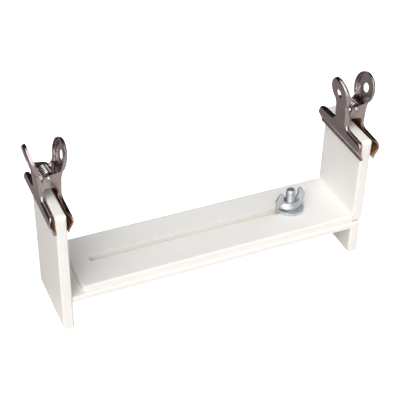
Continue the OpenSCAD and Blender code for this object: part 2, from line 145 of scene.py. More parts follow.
def varied_finish(name, colours, patch_mm, rough, gloss_mm, bumps, fixed, corner=None):
    """A material whose colour, gloss and surface vary.

    Each row of bumps is (size in mm, depth in mm, strength, detail, stretch along z). fixed are the shader's
    own values. corner is (colour, reach in mm, span of open room) for a painted shade that darkens narrow
    corners.
    """
    made, tree, place = new_material(name)
    patch = add(tree, NOISE, {"Vector": place, "Scale": 1 / (patch_mm * MM), "Detail": PATCH_DETAIL})
    share = add(tree, REMAP, {"Value": patch, "From Min": TINT_SPAN[0], "From Max": TINT_SPAN[1]})
    colour = add(tree, MIX, {"Factor": share, "A": linear(colours[0]), "B": linear(colours[1])},
                 data_type="RGBA")
    # Painted shade: the colour turns to the corner colour where the Ambient Occlusion node finds little open
    # room
    if corner:
        corner_shade_colour, reach_mm, (narrow, roomy) = corner
        room = add(tree, "ShaderNodeAmbientOcclusion", {"Distance": reach_mm * MM}).outputs["AO"]
        room = add(tree, REMAP, {"Value": room, "From Min": narrow, "From Max": roomy})
        colour = add(tree, MIX, {"Factor": room, "A": linear(corner_shade_colour), "B": colour}, data_type="RGBA")
    wear = add(tree, NOISE, {"Vector": place, "Scale": 1 / (gloss_mm * MM), "Detail": PATCH_DETAIL})
    gloss = add(tree, REMAP, {"Value": wear, "From Min": GLOSS_SPAN[0], "From Max": GLOSS_SPAN[1],
                              "To Min": rough[0], "To Max": rough[1]})
    below = {}
    for size_mm, depth_mm, strength, detail, stretch in bumps:
        spot = add(tree, "ShaderNodeMapping", {"Vector": place, "Scale": (1, 1, 1 / stretch)})
        height = add(tree, NOISE, {"Vector": spot, "Scale": 1 / (size_mm * MM), "Detail": detail})
        bump = add(tree, "ShaderNodeBump", {"Height": height, "Distance": depth_mm * MM,
                                            "Strength": strength, **below})
        below = {"Normal": bump}
    shader = add(tree, "ShaderNodeBsdfPrincipled",
                 {"Base Color": colour, "Roughness": gloss, **below, **fixed})
    add(tree, "ShaderNodeOutputMaterial", {"Surface": shader})
    print("made", name, "of", len(tree.nodes), "nodes")
    return made


# %% [markdown]
# ## Materials: white sheet plastic
# The boards are sawn from white extruded PVC or acrylic sheet. Extruding leaves a satin skin with a very low,
# long wave in it, and handling leaves fine scuffs. So the colour is nearly even, the gloss varies a little,
# and two soft bumps do the rest: a 6 mm wave, and a 0.5 mm grain that is drawn coarser than the real one to
# show. Narrow corners and the slot's sawn walls get a painted shade: the colour turns warm cream where an
# Ambient Occlusion node finds little room within 5 mm, standing in for the shade and bounced light there.

# %% White sheet plastic
SKIN_WAVE, SKIN_GRAIN = (6.0, 0.02, 0.5, 1.0, 1), (0.5, 0.006, 0.5, 2.0, 1)
# The corner colour #d9bf98 is a painted shade, warm cream in narrow corners and on the slot's walls
white_plastic = varied_finish("white_sheet_plastic", ("#f0eeea", "#f3f1ee"), patch_mm=22.0, rough=(0.34, 0.5),
                              gloss_mm=4.0, bumps=[SKIN_WAVE, SKIN_GRAIN], fixed={"IOR": 1.5},
                              corner=("#d9bf98", 5, (0.2, 0.62)))

# %% [markdown]
# ## Materials: plated steels
# The clips are pressed from steel strip and nickel plated, then handled until the plating is dull and a
# little warm; low on their inner faces a brown is a painted warm reflection of the clip's shaded inside.
# Strip is rolled, so its scratches run one way, here up the jaw. The clamp is bright zinc, which is bluer and
# a little frosted. The springs are bright wire. All of them are metals, so the base colour tints what they
# mirror, and a metal keeps the default IOR.

# %% Plated steels
DENTS, GRAIN_STRENGTH, GRAIN_DETAIL = (5.0, 0.05, 0.5, 1.0, 1), 0.6, 2.0


def plated_steel(name, colours, rough, blotch_mm, grain_mm, grain_depth_mm, stretch=1):
    """Plated steel with blotches of colour, wear at a third of their size, a grain and shallow dents."""
    grain = (grain_mm, grain_depth_mm, GRAIN_STRENGTH, GRAIN_DETAIL, stretch)
    return varied_finish(name, colours, blotch_mm, rough, blotch_mm / 3, [grain, DENTS], {"Metallic": 1.0})


worn_nickel = plated_steel("worn_nickel_plate", ("#aea2a4", "#b8acad"), rough=(0.16, 0.26), blotch_mm=9.0,
                           grain_mm=0.4, grain_depth_mm=0.002, stretch=8)
# This brown nickel is a painted warm reflection of the clip's shaded inside, for the inner faces low in the
# clip
inside_painted_reflection = plated_steel("dull_nickel_inside", ("#b49373", "#c8a786"), rough=(0.34, 0.46), blotch_mm=5.0,
                           grain_mm=0.5, grain_depth_mm=0.006)
bright_zinc = plated_steel("bright_zinc_plate", ("#c2c7ca", "#d9dcde"), rough=(0.42, 0.56), blotch_mm=3.0,
                           grain_mm=0.3, grain_depth_mm=0.006)
bright_wire = plated_steel("bright_spring_wire", ("#d2d0cd", "#e2e0dd"), rough=(0.12, 0.2), blotch_mm=2.0,
                           grain_mm=0.2, grain_depth_mm=0.001)

# %% [markdown]
# ## The boards
# The five boards are right as the CAD solids have them: flat sheets with small round edges. So they stay, and
# only get the plastic. The pins through the clips stay too, with their two peened heads.

# %% Finishes of the CAD solids that stay
FINISHES = {"end_board": white_plastic, "base_plate": white_plastic, "foot": white_plastic,
            "slide_plate": white_plastic, "upright": white_plastic,
            "left_pivot_pin": worn_nickel, "right_pivot_pin": worn_nickel}
for name, finish in FINISHES.items():
    NODES[name].data.materials.clear()
    NODES[name].data.materials.append(finish)
print("painted", len(FINISHES), "CAD solids")

# %% [markdown]
# ## Pieces: four helpers
# A new piece is a mesh whose points are already in place. One function links it, gives it a material, says
# what it replaces and puts it on its body. Another copies a CAD solid with its loose triangles joined again,
# so that its edges can be rounded. The last two close a mesh with its faces turned out, and take the result
# of live modifiers as a plain mesh.

# %% Helpers for pieces
def place_piece(name, mesh, material, body, replaced, smooth_deg=30):
    """Adds a finished mesh as a piece that rides on a body and stands for the replaced CAD nodes."""
    mesh.materials.clear()
    mesh.materials.append(material)
    mesh.polygons.foreach_set("use_smooth", [True] * len(mesh.polygons))
    mesh.set_sharp_from_angle(angle=math.radians(smooth_deg))
    piece = bpy.data.objects.new(name, mesh)
    bpy.context.scene.collection.objects.link(piece)
    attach(piece, body)
    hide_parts(*replaced)
    print(name, "rides on", body, "with", len(mesh.polygons), "faces")


def joined_copy(node, weld_mm=0.01, flat_deg=0.5):
    """A CAD solid as an editable mesh: its triangles joined at their points, and flat ones merged."""
    shape = bmesh.new()
    shape.from_mesh(NODES[node].data)
    bmesh.ops.remove_doubles(shape, verts=shape.verts, dist=weld_mm * MM)
    bmesh.ops.dissolve_degenerate(shape, edges=shape.edges, dist=weld_mm * MM)
    bmesh.ops.dissolve_limit(shape, angle_limit=math.radians(flat_deg), verts=shape.verts, edges=shape.edges)
    return shape


def as_mesh(shape, name):
    """An edited shape as a plain mesh, with its faces turned outwards."""
    bmesh.ops.recalc_face_normals(shape, faces=shape.faces)
    mesh = bpy.data.meshes.new(name)
    shape.to_mesh(mesh)
    shape.free()
    return mesh


def baked(piece):
    """The piece's evaluated shape as a plain mesh; the piece itself is removed."""
    mesh = bpy.data.meshes.new_from_object(piece.evaluated_get(bpy.context.evaluated_depsgraph_get()))
    bpy.data.objects.remove(piece)
    return mesh


# %% [markdown]
# ## The clips' jaws
# A jaw is one stamping: a lip, a belly above it, two wings, a waist with two ears, and a round handle. Its
# whole upper edge is bent in as a stiffening rim, and the ears are the places where that rim runs on across
# the clip. Boxes and booleans would give hard corners, but a press gives soft ones. So the flat part is
# filled with triangles inside the line where the bend starts, the rim grows from that line in columns that
# follow a quarter turn, and Solidify gives the sheet its thickness. Both jaws of a clip are the same
# stamping, turned half round. All sizes here are in millimetres from the pin's axis.

# %% The jaw's path, seen from the end of the pin
SHEET_MM, LIP_MM, FOLD_OUT_MM, RIM_MM = 0.8, 3.7, 1.6, 2.2
FOLD_MM = FOLD_OUT_MM - SHEET_MM / 2
LEAN = math.radians(12.5)
HANDLE_S_MM, HANDLE_RISE_MM, HANDLE_R_MM, HOLE_R_MM = 9.5, 9.45, 10.1, 3.0


def handle_s(v):
    """How far out the leaning handle's sheet lies at height v."""
    return HANDLE_S_MM + (v - HANDLE_RISE_MM) * math.tan(LEAN)


PATH_CORNERS_MM = [
    (LIP_MM + 0.8, -26.4),    # the lip's edge, turned out
    (LIP_MM, -24.8),          # the lip, which grips the board
    (6.9, -18.8),             # the belly, where it is widest
    (6.1, -12.5),             # just above the wings' tops
    (6.8, -1.0),              # the waist, beside the pin
    (handle_s(5.0), 5.0),     # the handle's foot, from where it leans out
    (handle_s(21.0), 21.0)]   # past the handle's top
PATH_RADII_MM = [0.6, 2.0, 5.0, 9.0, 5.0]


def round_corner(a, b, c, radius, steps=6):
    """Points of the arc that rounds corner b of a line from a to c."""
    a, b, c = Vector(a), Vector(b), Vector(c)
    u, w = (a - b).normalized(), (c - b).normalized()
    half = u.angle(w) / 2
    middle = b + (u + w).normalized() * radius / math.sin(half)
    start, stop = b + u * radius / math.tan(half) - middle, b + w * radius / math.tan(half) - middle
    turn = start.angle_signed(stop)
    return [middle + Matrix.Rotation(-turn * i / steps, 2) @ start for i in range(steps + 1)]


def jaw_path():
    """(s, v) along the sheet's middle from the lip up: s is across the board, v is up."""
    corners = PATH_CORNERS_MM
    path = [Vector(corners[0])]
    for i, radius in enumerate(PATH_RADII_MM):
        path += round_corner(corners[i], corners[i + 1], corners[i + 2], radius)
    return path + [Vector(corners[-1])]


PATH = jaw_path()


def sheet_at(v):
    """The sheet's s at height v, and its slope there."""
    i = next((k for k in range(1, len(PATH) - 1) if PATH[k].y >= v), len(PATH) - 1)
    low, high = PATH[i - 1], PATH[i]
    slope = (high.x - low.x) / (high.y - low.y)
    return low.x + (v - low.y) * slope, slope


print("path of", len(PATH), "points; the sheet's s at the pin is", round(sheet_at(0)[0], 2), "mm")

# %% [markdown]
# ## The line where the bend starts
# Seen from the side of the board, the line runs along the lip, up a wing's end, in along its top, round the
# shoulder to the waist, and round the handle. It could be traced on a picture, but written as straight runs
# and arcs it keeps every size that the CAD has. The two ears differ a little: the inner one of each pair
# leaves the waist lower down, on a neck, and widens upwards to its round end, so that a small gap shows
# between it and its own waist.

# %% Sizes of the line
JAW_HALF_MM, JAW_LOW_MM, JAW_TOP_MM, TOP_SLOPE_MM = 25.5, -26.0, -14.0, 0.8
LIP_R_MM, END_R_MM, SHOULDER_R_MM, NECK_R_MM = 1.0, 3.2, 4.6, 1.4
# -1 is the half of the jaw with the outer ear, and 1 the half with the inner ear
WAISTS_MM = {-1: 7.3, 1: 6.4}
EAR_TOPS_MM = {-1: 2.3, 1: 1.7}
EAR_ROOT_TOPS_MM = {-1: 2.3, 1: -1.9}
EAR_R_MM, EAR_LOW_MM, EAR_FILLET_MM = 4.3, 2.0, 3.0
EAR_FOOT_MM = -EAR_LOW_MM - EAR_R_MM
# How finely each stretch is divided; the rim starts after the first steps of a wing's end
LIP_STEP_MM, END_STEP_MM, TOP_STEP_MM, ROOT_STEP_MM = 1.0, 0.6, 0.8, 0.5
END_STEPS, PLAIN_END_STEPS, SHOULDER_STEPS, NECK_STEPS, HANDLE_STEPS = 8, 3, 10, 6, 44
FILLET_STEP_DEG, FILLET_END_DEG, EAR_STEP_DEG = 15, 75, 9
# Small gaps that keep neighbouring points of the line apart
SLIVER_MM, SEAM_MM, ROOT_GAP_MM = 0.1, 0.08, 0.12


def steps_between(a, b, size):
    """Points from a up to b, without b, no further apart than size."""
    a, b = Vector(a), Vector(b)
    n = max(1, math.ceil((b - a).length / size))
    return [a.lerp(b, i / n) for i in range(n)]


def ear_depth(v):
    """How far the rim reaches in from the sheet's middle at height v, down from an ear's top."""
    if v >= EAR_FOOT_MM:
        return sheet_at(v)[0] + math.sqrt(max(0.0, EAR_R_MM ** 2 - (v + EAR_LOW_MM) ** 2))
    return RIM_MM + EAR_FILLET_MM - math.sqrt(EAR_FILLET_MM ** 2 - (v - EAR_FOOT_MM + EAR_FILLET_MM) ** 2)


def ear_heights(top):
    """Heights from the fillet under an ear up to its top, close together where its end is round."""
    fillet = [EAR_FOOT_MM - EAR_FILLET_MM * (1 - math.sin(math.radians(a)))
              for a in range(0, FILLET_END_DEG, FILLET_STEP_DEG)]
    rounded = [-EAR_LOW_MM + EAR_R_MM * math.sin(math.radians(a)) for a in range(-90, 91, EAR_STEP_DEG)]
    return fillet + [EAR_FOOT_MM - SLIVER_MM] + [h for h in rounded if h < top - SLIVER_MM] + [top]


def wing_line(waist):
    """The line along the lip, which has no rim, and along the wing's top, whose rim starts at its end."""
    end_v = JAW_TOP_MM - FOLD_OUT_MM
    low_corner, high_corner = (JAW_HALF_MM, JAW_LOW_MM), (JAW_HALF_MM, end_v)
    lip = steps_between((0, JAW_LOW_MM), (JAW_HALF_MM - LIP_R_MM, JAW_LOW_MM), LIP_STEP_MM)
    lip += round_corner((0, JAW_LOW_MM), low_corner, (JAW_HALF_MM, 0), LIP_R_MM)[:-1]
    lip += steps_between((JAW_HALF_MM, JAW_LOW_MM + LIP_R_MM), (JAW_HALF_MM, end_v - END_R_MM), END_STEP_MM)
    line = [(p, None, 0.0) for p in lip]
    end = round_corner(low_corner, high_corner, (0, end_v), END_R_MM, END_STEPS)
    for i, p in enumerate(end):
        share = max(0.0, i - PLAIN_END_STEPS) / (END_STEPS - PLAIN_END_STEPS)
        line.append((p, RIM_MM * share, 0.0))
    shoulder = round_corner(high_corner, (waist, end_v + TOP_SLOPE_MM), (waist, 0), SHOULDER_R_MM,
                            SHOULDER_STEPS)
    top = steps_between(end[-1], shoulder[0], TOP_STEP_MM)[1:]
    return line + [(p, RIM_MM, 0.0) for p in top + shoulder]


def ear_line(waist, top, root_top):
    """The line up the waist beside an ear; the third value lifts the ear above its root."""
    share = (root_top - EAR_FOOT_MM) / (top - EAR_FOOT_MM)
    line = []
    for h in ear_heights(top):
        root = EAR_FOOT_MM + (h - EAR_FOOT_MM) * share if h > EAR_FOOT_MM else h
        line.append((Vector((waist, root)), ear_depth(h), h - root))
    if root_top < top:
        gap = steps_between((waist, root_top + ROOT_GAP_MM), (waist, top + SEAM_MM), ROOT_STEP_MM)
        line += [(p, RIM_MM, 0.0) for p in gap]
    return line


def handle_line(waist, above):
    """The line round the neck's fillet and the handle, as far as it lies above a height."""
    radius = HANDLE_R_MM - FOLD_OUT_MM
    reach = radius + NECK_R_MM
    drop = math.sqrt(reach ** 2 - (waist + NECK_R_MM) ** 2)
    meet = math.asin(drop / reach)
    neck_v = HANDLE_RISE_MM - drop * math.cos(LEAN)
    line = []
    for a in (meet * i / NECK_STEPS for i in range(NECK_STEPS)):
        line.append(Vector((waist + NECK_R_MM * (1 - math.cos(a)),
                            neck_v + NECK_R_MM * math.sin(a) * math.cos(LEAN))))
    for a in (-meet + (math.pi / 2 + meet) * i / HANDLE_STEPS for i in range(HANDLE_STEPS)):
        line.append(Vector((radius * math.cos(a), HANDLE_RISE_MM + radius * math.sin(a) * math.cos(LEAN))))
    return [(p, RIM_MM, 0.0) for p in line if p.y > above]


def half_line(side):
    """One half of the line from the lip's middle to the handle's top: (point, rim's depth or None, lift)."""
    waist = WAISTS_MM[side] - FOLD_OUT_MM
    top = EAR_TOPS_MM[side]
    line = wing_line(waist) + ear_line(waist, top, EAR_ROOT_TOPS_MM[side]) + handle_line(waist, top + SEAM_MM)
    return [(Vector((side * p.x, p.y)), depth, lift) for p, depth, lift in line]


TOP_POINT = Vector((0, HANDLE_RISE_MM + (HANDLE_R_MM - FOLD_OUT_MM) * math.cos(LEAN)))
LINE = half_line(1) + [(TOP_POINT, RIM_MM, 0.0)] + half_line(-1)[:0:-1]
print("line of", len(LINE), "points; deepest ear", round(max(depth or 0 for _, depth, _ in LINE), 2), "mm")

# %% [markdown]
# ## The stamping as a sheet
# The flat part is curved only one way, so it is filled in its flat view and then laid on the path. Blender's
# Delaunay triangulation keeps the line and the handle's hole as edges. A plain face fill would make long thin
# triangles that shade badly over the belly's curve, so a grid of points inside holds them small.

# %% The flat part
GRID_MM, GRID_ROWS, GRID_COLUMNS = 1.1, 40, 23
ROW_GAP_MM, EDGE_GAP_MM, HOLE_STEPS = 0.05, 0.35, 40
EXACT_MM = 1e-6


def inside_sheet(p):
    """Whether a point lies inside the bend line and outside the handle's hole."""
    rise = (p.y - HANDLE_RISE_MM) / math.cos(LEAN)
    if math.hypot(p.x, rise) < HOLE_R_MM:
        return False
    crossings = 0
    for (a, _, _), (b, _, _) in zip(LINE, LINE[1:] + LINE[:1]):
        if (a.y > p.y) != (b.y > p.y) and p.x < a.x + (p.y - a.y) / (b.y - a.y) * (b.x - a.x):
            crossings += 1
    return crossings % 2 == 1


def fill_points(edge):
    """A grid inside the line, clear of its edge, with more rows where the path bends."""
    bends = {round(p.y, 3) for p in PATH if JAW_LOW_MM < p.y < HANDLE_RISE_MM}
    rows = sorted(bends | {round(JAW_LOW_MM + GRID_MM * i, 3) for i in range(1, GRID_ROWS + 1)})
    rows = [v for k, v in enumerate(rows) if k == 0 or v - rows[k - 1] > ROW_GAP_MM]
    spots = [Vector((GRID_MM * i, v)) for v in rows for i in range(-GRID_COLUMNS, GRID_COLUMNS + 1)]
    return [p for p in spots if inside_sheet(p) and min((p - q).length for q in edge) > EDGE_GAP_MM]


def flat_part(shape):
    """Adds the sheet inside the line to shape, and gives its vertex at each point of the line."""
    outer = [p for p, _, _ in LINE]
    hole = [Vector((HOLE_R_MM * math.cos(a), HANDLE_RISE_MM + HOLE_R_MM * math.sin(a) * math.cos(LEAN)))
            for a in (2 * math.pi * i / HOLE_STEPS for i in range(HOLE_STEPS))]
    edge = outer + hole
    rings = [(i, (i + 1) % len(outer)) for i in range(len(outer))]
    rings += [(len(outer) + i, len(outer) + (i + 1) % len(hole)) for i in range(len(hole))]
    spots, _, faces, origin, _, _ = delaunay_2d_cdt(edge + fill_points(edge), rings, [], 0, EXACT_MM)
    verts = [shape.verts.new((sheet_at(p.y)[0], p.x, p.y)) for p in spots]
    for face in faces:
        if inside_sheet(sum((spots[i] for i in face), Vector((0, 0))) / len(face)):
            shape.faces.new([verts[i] for i in face])
    found = {source: i for i, sources in enumerate(origin) for source in sources}
    print("flat part of", len(shape.faces), "faces")
    return [verts[found[i]] for i in range(len(outer))]


# %% The bent rim and the ears
FOLD_STEPS, RIM_STEPS = 7, 8
NECK_EASE_MM, RAISED_MM, WELD_MM = 4.2, 1.0, 0.002


def bend_ways(i):
    """At point i of the line, the way that the sheet runs on outwards, and the way that the bend turns it."""
    p = LINE[i][0]
    slope = sheet_at(p.y)[1]
    along = LINE[(i + 1) % len(LINE)][0] - LINE[i - 1][0]
    inward = Vector((-1, 0, slope)).normalized()
    outward = inward.cross(Vector((along.y * slope, along.x, along.y))).normalized()
    half = math.copysign(1, p.x)
    if p.y <= EAR_TOPS_MM[half]:
        inward = Vector((-1, 0, 0))
        if abs(p.x) < WAISTS_MM[-1] and p.y > EAR_FOOT_MM - EAR_FILLET_MM:
            outward = Vector((0, half, 0))
    return outward, inward


def rim_column(shape, i, base):
    """The vertices from a point of the line round the bend and on to the rim's or the ear's end."""
    _, depth, lift = LINE[i]
    outward, inward = bend_ways(i)
    bend = math.acos(1 - depth / FOLD_MM) if depth < FOLD_MM else math.pi / 2
    column = [base]
    for a in (bend * k / FOLD_STEPS for k in range(1, FOLD_STEPS + 1)):
        turned_in = outward * FOLD_MM * math.sin(a) + inward * FOLD_MM * (1 - math.cos(a))
        column.append(shape.verts.new(base.co + turned_in))
    beyond = max(0.0, depth - FOLD_MM)
    for out in (beyond * k / RIM_STEPS for k in range(1, RIM_STEPS + 1)):
        ease = min(1.0, out / NECK_EASE_MM)
        up = Vector((0, 0, lift * ease * ease * (3 - 2 * ease)))
        column.append(shape.verts.new(column[FOLD_STEPS].co + inward * out + up))
    return column


def stamped_surface():
    """The sheet's middle surface: flat part, bent rim and ears."""
    shape = bmesh.new()
    bases = flat_part(shape)
    columns = [None if LINE[i][1] is None else rim_column(shape, i, base) for i, base in enumerate(bases)]
    for i, (one, two) in enumerate(zip(columns, columns[1:])):
        if one is None or two is None:
            continue
        # Beside a raised ear's top the rim is cut, so that only the bend runs on
        cut = abs(LINE[i][2] - LINE[i + 1][2]) > RAISED_MM
        for k in range(FOLD_STEPS if cut else FOLD_STEPS + RIM_STEPS):
            shape.faces.new([one[k], two[k], two[k + 1], one[k + 1]])
    bmesh.ops.remove_doubles(shape, verts=shape.verts, dist=WELD_MM)
    loose = [v for v in shape.verts if not v.link_faces]
    bmesh.ops.delete(shape, geom=loose, context="VERTS")
    print("with its rim and ears", len(shape.faces), "faces")
    return shape


# %% The sheet's thickness and its sheared edges
BREAK_MM, BREAK_STEPS, BREAK_OVER = 0.12, 2, math.radians(50)


def pressed_jaw():
    """The stamping with its thickness and its sheared edges broken, for the jaw on the +X side."""
    piece = bpy.data.objects.new("stamping", as_mesh(stamped_surface(), "stamping"))
    bpy.context.scene.collection.objects.link(piece)
    sheet = piece.modifiers.new("sheet", "SOLIDIFY")
    sheet.thickness, sheet.offset, sheet.use_even_offset = SHEET_MM, 0.0, True
    edges = piece.modifiers.new("edges", "BEVEL")
    edges.width, edges.segments = BREAK_MM, BREAK_STEPS
    edges.limit_method, edges.angle_limit = "ANGLE", BREAK_OVER
    return baked(piece)


STAMPING = pressed_jaw()
print("one jaw has", len(STAMPING.polygons), "faces")

# %% The four jaws
PIN_Z = sum(v.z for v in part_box("left_pivot_pin")) / 2
CLIP_X = {side: sum(v.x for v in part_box(side + "_pivot_pin")) / 2 for side in ("left", "right")}
BOARDS_MM, GRIP_MM, LIP_DEPTH_MM = {"left": 6.5, "right": 7.0}, 6.5, 24.8
# Faces that look inwards at least this squarely, this far below the pin, get a painted warm reflection in
# brown
INSIDE_FACING, INSIDE_BELOW_MM = -0.6, 4


def jaw_turn(side):
    """How far a jaw has turned to take its board, from how it stands on one that is GRIP_MM thick."""
    return math.asin((BOARDS_MM[side] - GRIP_MM) / 2 / LIP_DEPTH_MM)


def place_jaw(side, which, way):
    """way is 1 for the jaw towards +X, and -1 for the same stamping turned half round."""
    node = f"{side}_{which}_jaw"
    mesh = STAMPING.copy()
    mesh.transform(Matrix.Translation((CLIP_X[side], 0, PIN_Z))
                   @ Matrix.Rotation(0 if way > 0 else math.pi, 4, "Z")
                   @ Matrix.Rotation(-jaw_turn(side), 4, "Y") @ Matrix.Scale(MM, 4))
    mesh.name = node + "_pressed"
    place_piece(node + "_pressed", mesh, worn_nickel, node, [node])
    # The second material is the painted warm reflection on the inner faces low in the clip
    mesh.materials.append(inside_painted_reflection)
    for face in mesh.polygons:
        inward = way * face.normal.x < INSIDE_FACING
        face.material_index = 1 if inward and face.center.z < PIN_Z - INSIDE_BELOW_MM * MM else 0


for side, which, way in (("left", "outer", -1), ("left", "inner", 1),
                         ("right", "outer", 1), ("right", "inner", -1)):
    place_jaw(side, which, way)
print("jaws turned, in degrees:", {side: round(math.degrees(jaw_turn(side)), 2) for side in BOARDS_MM})

# %% [markdown]
# ## The springs
# Each clip has one wire: a leg up to each handle, and a coil of about seven turns round the pin between
# them. A curve with a round bevel would do, but a Geometry Nodes tree that sweeps a circle along any path
# serves the coil and the legs alike. When a clip is squeezed, its legs turn with the jaws while the coil
# stays. So each leg carries 30 degrees more of the coil with it, thinner by a hair, and slides along inside
# the coil's end.

# %% The start and the end that both Geometry Nodes trees share
def new_tree(name, sizes, result):
    """A Geometry Nodes tree with named inputs and one named result; gives the tree and its inputs."""
    tree = bpy.data.node_groups.new(name, "GeometryNodeTree")
    for label, kind in sizes.items():
        tree.interface.new_socket(label, in_out="INPUT", socket_type="NodeSocket" + kind)
    tree.interface.new_socket(result, in_out="OUTPUT", socket_type="NodeSocketGeometry")
    return tree, add(tree, "NodeGroupInput").outputs


def end_tree(tree, shape, finish, result):
    """Makes the shape real faces, gives them their material and hands them out."""
    solid = add(tree, "GeometryNodeRealizeInstances", {"Geometry": shape})
    coated = add(tree, "GeometryNodeSetMaterial", {"Geometry": solid, "Material": finish})
    add(tree, "NodeGroupOutput", {result: coated})
    print("tree:", tree.name, "with", len(tree.nodes), "nodes")


def grown(piece, tree, **sizes):
    """The plain mesh that a tree makes of a piece, with its inputs given by name."""
    bpy.context.scene.collection.objects.link(piece)
    modifier = piece.modifiers.new(tree.name, "NODES")
    modifier.node_group = tree
    for item in tree.interface.items_tree:
        label = item.name.replace(" ", "_").lower()
        if item.in_out == "INPUT" and label in sizes:
            modifier[item.identifier] = sizes[label]
    return baked(piece)


# %% A tree that sweeps a wire along a path
def wire_tree():
    sizes = {"Path": "Geometry", "Wire diameter": "Float", "Sides": "Int", "Finish": "Material"}
    tree, given = new_tree("wire_along_path", sizes, "Wire")
    radius = add(tree, MATH, {0: given["Wire diameter"], 1: 0.5}, operation="MULTIPLY")
    ring = add(tree, "GeometryNodeCurvePrimitiveCircle", {"Resolution": given["Sides"], "Radius": radius})
    swept = add(tree, "GeometryNodeCurveToMesh", {"Curve": given["Path"], "Profile Curve": ring,
                                                  "Fill Caps": True})
    end_tree(tree, swept, given["Finish"], "Wire")
    return tree


WIRE, WIRE_SIDES, WIRE_WELD = wire_tree(), 16, 1e-7


def wire_mesh(name, points, diameter):
    """A round wire along points, as a plain mesh."""
    line = bpy.data.curves.new(name, "CURVE")
    line.dimensions = "3D"
    run = line.splines.new("POLY")
    run.points.add(len(points) - 1)
    for spot, point in zip(run.points, points):
        spot.co = (*point, 1)
    mesh = grown(bpy.data.objects.new(name, line), WIRE, wire_diameter=diameter, sides=WIRE_SIDES,
                 finish=bright_wire)
    shape = bmesh.new()
    shape.from_mesh(mesh)
    bmesh.ops.remove_doubles(shape, verts=shape.verts, dist=WIRE_WELD)
    bpy.data.meshes.remove(mesh)
    return as_mesh(shape, name)


# %% Coils and legs
WIRE_D, COIL_R, COIL_PITCH = 1.0 * MM, 2.4 * MM, 1.42 * MM
COIL_TURNS, COIL_SLANT, COIL_STEPS_PER_TURN = 6, math.radians(5), 40
LEG_RISE_MM, LEG_STEPS, LEG_THINNER, TOUCH = 8.8, 10, 0.97, 0.05 * MM
LAP, LAP_STEPS = math.radians(30), 8
WIRE_SMOOTH_DEG = 60


def spring(side, leg_bodies, coil_body):
    """One clip's spring; leg_bodies are the jaws that carry the leg at -X and the leg at +X."""
    turn = jaw_turn(side)
    half_gap = SHEET_MM * MM / 2 + TOUCH + WIRE_D / 2
    s, v = handle_s(LEG_RISE_MM) * MM - half_gap / math.cos(LEAN), LEG_RISE_MM * MM
    tip = Vector((s * math.cos(turn) - v * math.sin(turn), s * math.sin(turn) + v * math.cos(turn)))
    leg_angle = math.atan2(tip.y, tip.x) - math.acos(COIL_R / tip.length)
    first, sweep = math.pi - leg_angle, 2 * math.pi * COIL_TURNS + 2 * leg_angle + math.pi
    length = COIL_PITCH * sweep / (2 * math.pi)
    pin = Vector((CLIP_X[side], 0, PIN_Z))

    def on_coil(share):
        """A point of the coil, which sits slanting on its pin; share is 0 at its front end, 1 at its back."""
        a = first + sweep * share
        spot = Vector((COIL_R * math.cos(a), length * (share - 0.5), COIL_R * math.sin(a)))
        return pin + Matrix.Rotation(COIL_SLANT, 3, "Z") @ spot

    def place_wire(name, points, diameter, body):
        mesh = wire_mesh(name, points, diameter)
        place_piece(name, mesh, bright_wire, body, [side + "_spring"], WIRE_SMOOTH_DEG)

    steps = round(sweep / (2 * math.pi) * COIL_STEPS_PER_TURN)
    place_wire(side + "_spring_coil", [on_coil(i / steps) for i in range(steps + 1)], WIRE_D, coil_body)
    legs = (("front", 0, 1, Vector((-tip.x, -length / 2, tip.y))),
            ("back", 1, -1, Vector((tip.x, length / 2, tip.y))))
    for (label, share, way, leg_tip), body in zip(legs, leg_bodies):
        lap = [on_coil(share + way * LAP / sweep * i / LAP_STEPS) for i in range(LAP_STEPS, -1, -1)]
        run = [lap[-1].lerp(pin + leg_tip, i / LEG_STEPS) for i in range(1, LEG_STEPS + 1)]
        place_wire(f"{side}_spring_{label}_leg", lap + run, LEG_THINNER * WIRE_D, body)


spring("left", ("left_outer_jaw", "left_inner_jaw"), "root")
spring("right", ("right_inner_jaw", "right_outer_jaw"), "carriage")

# %% [markdown]
# ## The clamp
# The bolt has a rolled M6 thread, and a screw surface is a rule: the radius at a point depends only on its
# height and its angle. So Geometry Nodes take a plain tube of small faces and move each point inwards by that
# rule. The washer is turned from a profile with die-rounded edges. The wing nut is cast, with wings that flow
# out of a broad oval body, so its CAD solid is joined with that body, remeshed finely and smoothed.

# %% A tree that cuts a thread into a tube
TUBE_SIDES, STEPS_PER_PITCH = 48, 10.0
CREST, ROOT = 0.15, 0.85
POINT_LENGTH, POINT_DEPTH = 0.9 * MM, 0.8 * MM


